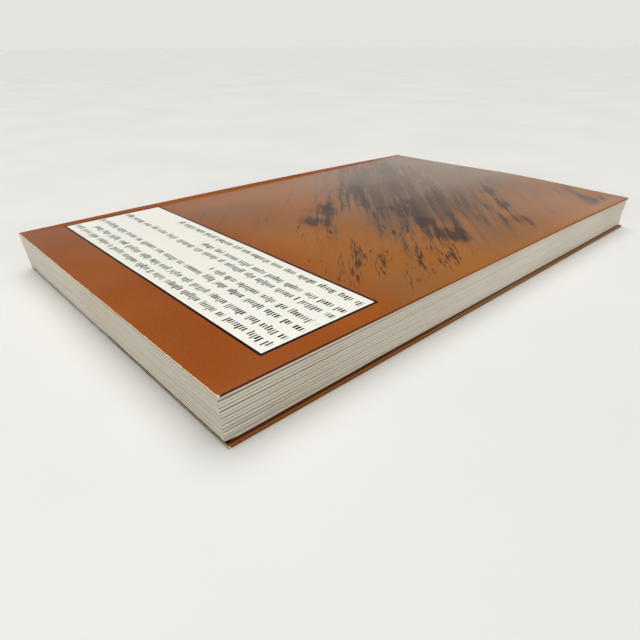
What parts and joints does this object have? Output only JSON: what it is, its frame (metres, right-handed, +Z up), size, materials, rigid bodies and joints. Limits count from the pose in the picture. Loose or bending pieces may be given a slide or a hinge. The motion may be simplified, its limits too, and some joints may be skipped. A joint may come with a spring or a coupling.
{
  "type": "paperback book",
  "caption": "Closed paperback with French flaps, lying on its front cover; both covers open on score lines beside the spine.",
  "frame": {"origin": "under the middle of the closed book, on the flat face it lies on", "axes": "+Y along the spine from head to tail, +X from the spine to the fore edge, +Z up from the front cover to the back cover"},
  "size_m": [0.135, 0.2172, 0.0145],
  "materials": {
    "pages": "matte",
    "glue": "satin",
    "spine_card": "satin",
    "front_card": "satin",
    "back_card": "satin"
  },
  "bodies": {
    "book_body": {"page_block": "pages", "spine_glue": "glue", "cover_spine": "spine_card"},
    "front_cover": {"front_cover": "front_card"},
    "back_cover": {"back_cover": "back_card"}
  },
  "joints": [
    {"name": "back_cover_hinge", "type": "hinge", "parent": "book_body", "child": "back_cover", "pos_m": [-0.0615, 0, 0.0145], "axis": [0, -1, 0], "range_deg": [0, 170]},
    {"name": "front_cover_hinge", "type": "hinge", "parent": "book_body", "child": "front_cover", "pos_m": [-0.0615, 0, 0], "axis": [0, 1, 0], "range_deg": [0, 170]}
  ]
}
